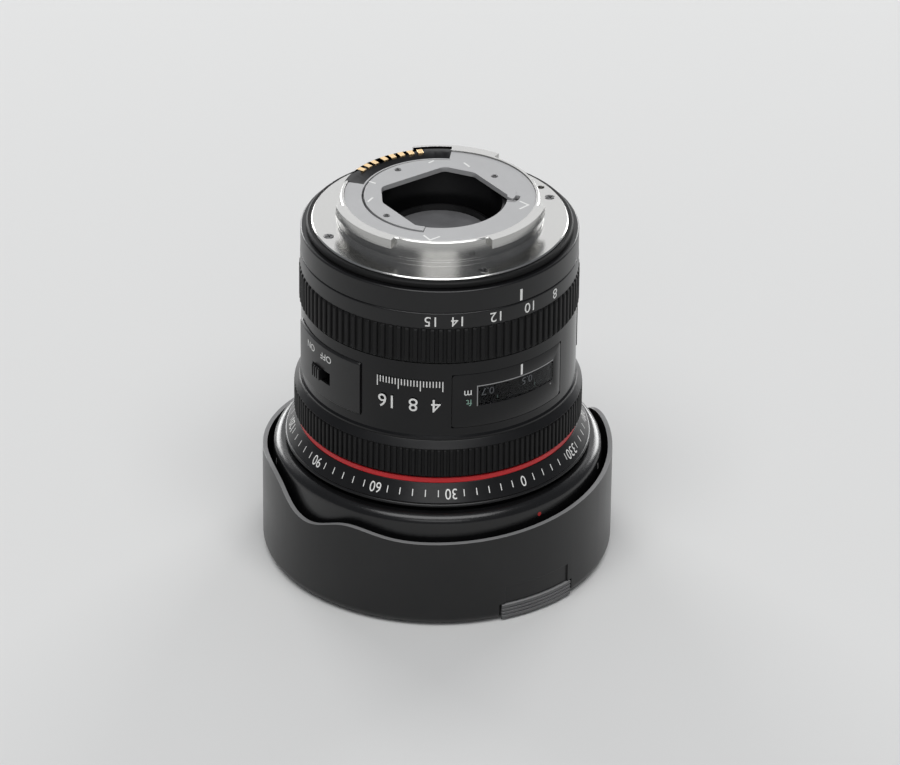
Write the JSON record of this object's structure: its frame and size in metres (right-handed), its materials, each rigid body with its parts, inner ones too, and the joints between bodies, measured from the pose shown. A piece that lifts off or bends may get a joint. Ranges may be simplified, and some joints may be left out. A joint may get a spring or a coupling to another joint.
{
  "type": "fisheye zoom lens",
  "caption": "Interchangeable fisheye zoom lens with bayonet mount, ribbed zoom and focus rings, distance window, red ring, petal hood and push-on cap, standing on its cap.",
  "frame": {"origin": "middle of the cap's flat underside, on the surface that the lens stands on", "axes": "+Z along the optical axis from the cap to the camera mount; -Y is the lens's top side with the index marks; +X is the side with the focus mode switch"},
  "size_m": [0.0902, 0.0906, 0.1002],
  "materials": {
    "chrome_mount": "polished plated brass",
    "steel_screw": "bright steel",
    "plate_grey": "satin light grey",
    "gold_pad": "gold plated",
    "black_metal": "satin black",
    "black_plastic": "fine satin black",
    "gloss_black": "smooth black",
    "rubber_black": "ribbed rubber",
    "seal_rubber": "soft seal",
    "red_paint": "red enamel",
    "glass": "coated optical glass",
    "window": "tinted clear plastic",
    "brass_part": "machined brass",
    "alloy": "machined alloy",
    "copper_ring": "motor steel",
    "board_green": "circuit board",
    "blade_steel": "blackened spring steel"
  },
  "bodies": {
    "root": {"mount_ring": "chrome_mount", "mount_screws": "steel_screw", "rear_gasket": "seal_rubber", "contact_block": "black_plastic", "contact_pads": "gold_pad", "filter_plate": "plate_grey", "filter_holder": "plate_grey", "plate_screws": "steel_screw", "rear_baffle": "black_metal", "rear_barrel": "black_metal", "main_board": "board_green", "guide_barrel": "alloy", "fixed_barrel": "black_metal", "window_glass": "window", "motor_stator": "copper_ring", "motor_rotor": "alloy", "front_housing": "black_metal", "name_ring": "black_metal", "red_ring": "red_paint", "limit_plate": "black_plastic", "mode_plate": "black_plastic"},
    "zoom": {"zoom_ring": "black_metal", "zoom_grip": "rubber_black", "zoom_key": "brass_part", "cam_barrel": "alloy"},
    "focus": {"focus_ring": "black_metal", "focus_grip": "rubber_black"},
    "focus_drum": {"focus_cam_ring": "alloy", "focus_rollers": "brass_part", "distance_scale": "black_plastic"},
    "front_group": {"front_cell": "black_metal", "front_retainer": "black_metal", "front_element": "glass", "second_element": "glass", "front_rollers": "brass_part"},
    "focus_group": {"focus_cell": "black_metal", "focus_element": "glass", "cell_rollers": "brass_part"},
    "rear_group": {"rear_cell": "black_metal", "rear_element": "glass", "middle_element": "glass", "rear_rollers": "brass_part", "iris_housing": "black_plastic", "iris_motor": "alloy"},
    "iris_drive": {"iris_ring": "black_plastic"},
    "hood": {"lens_hood": "black_plastic"},
    "hood_catch": {"hood_button": "black_plastic"},
    "cap": {"lens_cap": "black_plastic"},
    "latch_top": {"cap_latch_top": "black_plastic"},
    "latch_bottom": {"cap_latch_bottom": "black_plastic"},
    "limit_switch": {"limit_knob": "black_plastic"},
    "mode_switch": {"mode_knob": "black_plastic"},
    "blade_1": {"iris_blade_1": "blade_steel"},
    "blade_2": {"iris_blade_2": "blade_steel"},
    "blade_3": {"iris_blade_3": "blade_steel"},
    "blade_4": {"iris_blade_4": "blade_steel"},
    "blade_5": {"iris_blade_5": "blade_steel"},
    "blade_6": {"iris_blade_6": "blade_steel"},
    "blade_7": {"iris_blade_7": "blade_steel"}
  },
  "joints": [
    {"name": "zoom_turn", "type": "hinge", "parent": "root", "child": "zoom", "pos_m": [0, 0, 0.078], "axis": [0, 0, 1], "range_deg": [-21, 40]},
    {"name": "front_slide", "type": "slide", "parent": "root", "child": "front_group", "axis": [0, 0, 1], "range_m": [-0.002, 0.00105]},
    {"name": "rear_slide", "type": "slide", "parent": "root", "child": "rear_group", "axis": [0, 0, 1], "range_m": [-0.006, 0.00315]},
    {"name": "focus_turn", "type": "hinge", "parent": "root", "child": "focus", "pos_m": [0, 0, 0.044], "axis": [0, 0, 1], "range_deg": [-14, 84]},
    {"name": "drum_turn", "type": "hinge", "parent": "root", "child": "focus_drum", "pos_m": [0, 0, 0.052], "axis": [0, 0, 1], "range_deg": [-7, 42]},
    {"name": "focus_slide", "type": "slide", "parent": "root", "child": "focus_group", "axis": [0, 0, 1], "range_m": [-0.00042, 0.00252]},
    {"name": "iris_turn", "type": "hinge", "parent": "rear_group", "child": "iris_drive", "pos_m": [0, 0, 0.068], "axis": [0, 0, 1], "range_deg": [0, 5.67]},
    {"name": "blade_1_turn", "type": "hinge", "parent": "rear_group", "child": "blade_1", "pos_m": [0, -0.0185, 0.066], "axis": [0, 0, 1], "range_deg": [0, 34.05]},
    {"name": "blade_2_turn", "type": "hinge", "parent": "rear_group", "child": "blade_2", "pos_m": [0.01446, -0.01153, 0.066], "axis": [0, 0, 1], "range_deg": [0, 34.05]},
    {"name": "blade_3_turn", "type": "hinge", "parent": "rear_group", "child": "blade_3", "pos_m": [0.01804, 0.00412, 0.066], "axis": [0, 0, 1], "range_deg": [0, 34.05]},
    {"name": "blade_4_turn", "type": "hinge", "parent": "rear_group", "child": "blade_4", "pos_m": [0.00803, 0.01667, 0.066], "axis": [0, 0, 1], "range_deg": [0, 34.05]},
    {"name": "blade_5_turn", "type": "hinge", "parent": "rear_group", "child": "blade_5", "pos_m": [-0.00803, 0.01667, 0.066], "axis": [0, 0, 1], "range_deg": [0, 34.05]},
    {"name": "blade_6_turn", "type": "hinge", "parent": "rear_group", "child": "blade_6", "pos_m": [-0.01804, 0.00412, 0.066], "axis": [0, 0, 1], "range_deg": [0, 34.05]},
    {"name": "blade_7_turn", "type": "hinge", "parent": "rear_group", "child": "blade_7", "pos_m": [-0.01446, -0.01153, 0.066], "axis": [0, 0, 1], "range_deg": [0, 34.05]},
    {"name": "hood_turn", "type": "hinge", "parent": "root", "child": "hood", "pos_m": [0, 0, 0.02], "axis": [0, 0, 1], "range_deg": [0, 60]},
    {"name": "hood_button_push", "type": "slide", "parent": "hood", "child": "hood_catch", "axis": [0.5, -0.866, 0], "range_m": [0, 0.0008], "stiffness_N_per_m": 900, "springref_m": -0.0008},
    {"name": "cap_pull", "type": "slide", "parent": "hood", "child": "cap", "axis": [0, 0, -1], "range_m": [0, 0.03]},
    {"name": "latch_top_squeeze", "type": "slide", "parent": "cap", "child": "latch_top", "axis": [0, 1, 0], "range_m": [0, 0.0012], "stiffness_N_per_m": 1500, "springref_m": -0.0008},
    {"name": "latch_bottom_squeeze", "type": "slide", "parent": "cap", "child": "latch_bottom", "axis": [0, -1, 0], "range_m": [0, 0.0012], "stiffness_N_per_m": 1500, "springref_m": -0.0008},
    {"name": "limit_switch_slide", "type": "hinge", "parent": "root", "child": "limit_switch", "pos_m": [0, 0, 0.059], "axis": [0, 0, 1], "range_deg": [0, 4.4]},
    {"name": "mode_switch_slide", "type": "hinge", "parent": "root", "child": "mode_switch", "pos_m": [0, 0, 0.059], "axis": [0, 0, 1], "range_deg": [0, 4.4]}
  ],
  "couplings": [
    {"joint": "front_slide", "follows": "zoom_turn", "m_per_rad": -0.0028648},
    {"joint": "rear_slide", "follows": "zoom_turn", "m_per_rad": -0.0085944},
    {"joint": "drum_turn", "follows": "focus_turn", "ratio": 0.5},
    {"joint": "focus_slide", "follows": "focus_turn", "m_per_rad": 0.0017189},
    {"joint": "blade_1_turn", "follows": "iris_turn", "ratio": 6},
    {"joint": "blade_2_turn", "follows": "iris_turn", "ratio": 6},
    {"joint": "blade_3_turn", "follows": "iris_turn", "ratio": 6},
    {"joint": "blade_4_turn", "follows": "iris_turn", "ratio": 6},
    {"joint": "blade_5_turn", "follows": "iris_turn", "ratio": 6},
    {"joint": "blade_6_turn", "follows": "iris_turn", "ratio": 6},
    {"joint": "blade_7_turn", "follows": "iris_turn", "ratio": 6}
  ]
}
